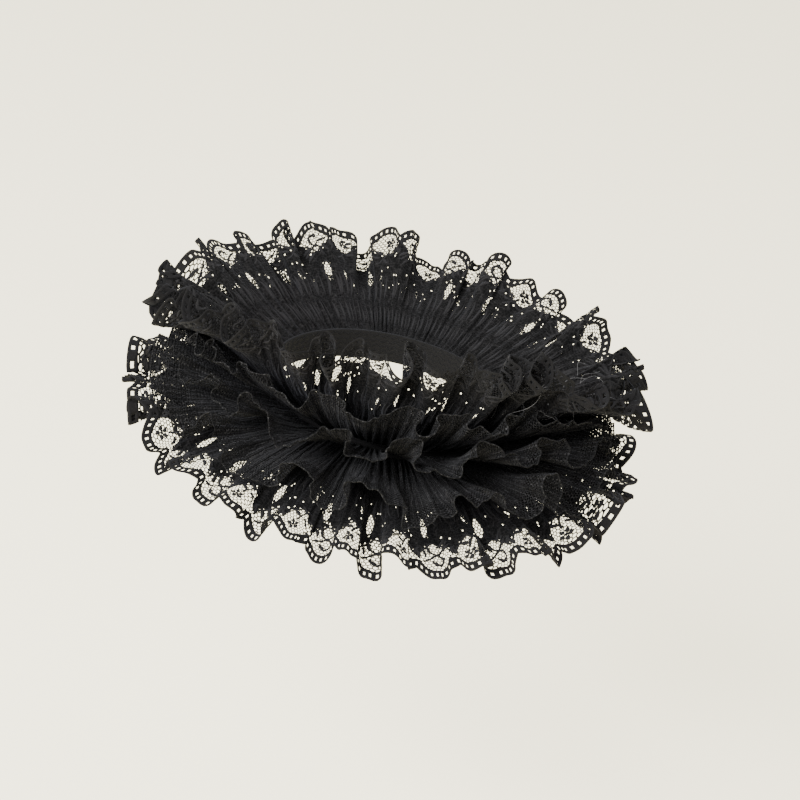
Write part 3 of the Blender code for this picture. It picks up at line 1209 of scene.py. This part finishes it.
class RUFF_OT_neck_band(bpy.types.Operator):
    """Make the ribbed elastic neck band and its zigzag seams"""

    bl_idname = "ruff.neck_band"
    bl_label = "Neck band"

    def execute(self, context):
        band = context.scene.ruff_band
        lowest, highest = BAND_BOX
        outer = highest.x
        inner = outer - BAND_WALL
        height = highest.z - lowest.z
        levels = np.linspace(-height / 2, height / 2, band.ribs * POINTS_IN_RIB + 1)
        hollow = band.rib_height * (1 - np.abs(np.sin(math.pi * band.ribs * (levels / height + 0.5))))
        radius = np.concatenate([inner + hollow, outer - hollow[::-1]])[:, None]
        level = np.concatenate([levels, levels[::-1]])[:, None]
        bearing = np.arange(BAND_SEGMENTS) * math.tau / BAND_SEGMENTS
        around = np.broadcast_arrays(radius * np.sin(bearing), -radius * np.cos(bearing), level)
        points = np.stack(around, axis=-1)
        faces = ring_quads(len(radius) + 1, BAND_SEGMENTS) % (len(radius) * BAND_SEGMENTS)
        flat = np.stack(np.broadcast_arrays(bearing[None] * inner, level), axis=-1)
        parts = Parts()
        parts.add(points, faces, flat)
        elastic = thread_material("elastic_cloth", band.colour, 0.85, 0.02, 1400.0)
        piece = parts.piece("neck_band_elastic", elastic, "elastic")
        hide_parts("neck_band")
        sewing = thread_material("sewing_thread", band.thread_colour, 0.7, 0.03, 2000.0)
        self.zigzag_seams(band, inner, sewing)
        self.gathering_stitches(context, band, sewing)
        return {"FINISHED"}

    def zigzag_seams(self, band, inner, sewing):
        """One row of zigzag stitches on the band's inside for each frill that is sewn to its outside."""
        corners = 2 * round(math.pi * inner / band.stitch_length)
        bearing = np.arange(corners) * math.tau / corners
        facing = np.stack([np.sin(bearing), -np.cos(bearing), np.zeros(corners)], axis=-1)
        zigzag = band.stitch_width / 2 * (-1.0) ** np.arange(corners)
        parts = Parts()
        for row in (frill.seam_row for frill in (*LACE_FRILLS, *TULLE_FRILLS)):
            centres = facing * (inner - band.thread * 0.4)
            centres[:, 2] = row * SEAM_SPACING + zigzag
            add_thread(parts, centres, facing, band.thread / 2, closed=True)
        parts.piece("seam_stitches", sewing, "elastic")

    def gathering_stitches(self, context, band, sewing):
        """A row of running stitches beside each seam, where the strip was drawn up."""
        strips = [lace_strip(frill) for frill in LACE_FRILLS]
        strips += [tulle_strip(frill, context.scene.ruff_tulle) for frill in TULLE_FRILLS]
        parts = Parts()
        for strip in strips:
            stitches = round(strip.length / (2 * band.stitch_length))
            along = strip.spaced(stitches)[:, None] + np.linspace(0, RUNNING_STITCH * band.stitch_length, 4)
            paths = np.stack([along, np.full(along.shape, GATHERING_RUN)], axis=-1)
            add_cords(parts, strip, paths, band.thread / 2, band.thread)
        parts.piece("gathering_stitches", sewing, "elastic")


class RUFF_OT_stage(bpy.types.Operator):
    """Make the pale floor, the soft lights and the camera"""

    bl_idname = "ruff.stage"
    bl_label = "Stage"

    def execute(self, context):
        stage = context.scene.ruff_stage
        mesh = bpy.data.meshes.new("floor")
        corners = [(-1, -1), (1, -1), (1, 1), (-1, 1)]
        points = [(x * FLOOR_REACH, y * FLOOR_REACH, -stage.floor_drop) for x, y in corners]
        mesh.from_pydata(points, [], [(0, 1, 2, 3)])
        floor = bpy.data.objects.new("floor", mesh)
        context.scene.collection.objects.link(floor)
        mesh.materials.append(build_node_material("floor_paper", stage.floor_colour, 0.9)[0])

        world = bpy.data.worlds.new("room_light")
        world.use_nodes = True
        background = world.node_tree.nodes["Background"]
        background.inputs["Color"].default_value = shade(stage.sky_colour)
        background.inputs["Strength"].default_value = stage.sky
        context.scene.world = world

        self.soft_light(context, "key_light", stage.key_power, KEY_SIZE, KEY_PLACE)
        self.soft_light(context, "fill_light", stage.fill_power, FILL_SIZE, FILL_PLACE)
        self.camera(context)
        return {"FINISHED"}

    def soft_light(self, context, name, power, size, place):
        light = bpy.data.lights.new(name, "AREA")
        light.energy = power
        light.shape = "SQUARE"
        light.size = size
        obj = bpy.data.objects.new(name, light)
        obj.location = place
        obj.rotation_euler = (-Vector(place)).to_track_quat("-Z", "Y").to_euler()
        context.scene.collection.objects.link(obj)

    def camera(self, context):
        sin_b, cos_b = math.sin(VIEW_BEARING), math.cos(VIEW_BEARING)
        sin_h, cos_h = math.sin(VIEW_HEIGHT), math.cos(VIEW_HEIGHT)
        back = Vector((sin_b * cos_h, -cos_b * cos_h, sin_h))
        right = Vector((cos_b, sin_b, 0.0))
        up = back.cross(right)
        camera_x = right * math.cos(VIEW_ROLL) + up * math.sin(VIEW_ROLL)
        camera_y = up * math.cos(VIEW_ROLL) - right * math.sin(VIEW_ROLL)
        data = bpy.data.cameras.new("camera")
        data.sensor_width = SENSOR * 1000
        data.lens = data.sensor_width * VIEW_DISTANCE / (METRES_PER_PIXEL * IMAGE_WIDTH)
        data.shift_x = 0.5 - RUFF_PIXEL[0] / IMAGE_WIDTH
        data.shift_y = RUFF_PIXEL[1] / IMAGE_WIDTH - 0.5
        camera = bpy.data.objects.new("camera", data)
        axes = Matrix((camera_x, camera_y, back)).transposed().to_4x4()
        camera.matrix_world = Matrix.Translation(back * VIEW_DISTANCE) @ axes
        context.scene.collection.objects.link(camera)
        context.scene.camera = camera


class RUFF_PT_panel(bpy.types.Panel):
    """Lists the ruff's pieces in the order that they are made"""

    bl_idname = "RUFF_PT_panel"
    bl_label = "Lace ruff collar"
    bl_space_type = "VIEW_3D"
    bl_region_type = "UI"
    bl_category = "Ruff"

    def draw(self, context):
        column = self.layout.column(align=True)
        for operator in OPERATORS:
            column.operator(operator.bl_idname)


OPERATORS = (
    RUFF_OT_stage,
    RUFF_OT_neck_band,
    RUFF_OT_tulle_frills,
    RUFF_OT_lace_border,
    RUFF_OT_lace_motifs,
    RUFF_OT_lace_net,
)
SETTINGS = {
    "ruff_lace": RuffLace,
    "ruff_tulle": RuffTulle,
    "ruff_band": RuffBand,
    "ruff_stage": RuffStage,
}


def register():
    for kind in (*SETTINGS.values(), *OPERATORS, RUFF_PT_panel):
        bpy.utils.register_class(kind)
    for name, kind in SETTINGS.items():
        setattr(bpy.types.Scene, name, PointerProperty(type=kind))


def unregister():
    for name in SETTINGS:
        delattr(bpy.types.Scene, name)
    for kind in reversed((*SETTINGS.values(), *OPERATORS, RUFF_PT_panel)):
        bpy.utils.unregister_class(kind)


def main():
    register()
    for operator in OPERATORS:
        group, name = operator.bl_idname.split(".")
        getattr(getattr(bpy.ops, group), name)()


if __name__ == "__main__":
    main()
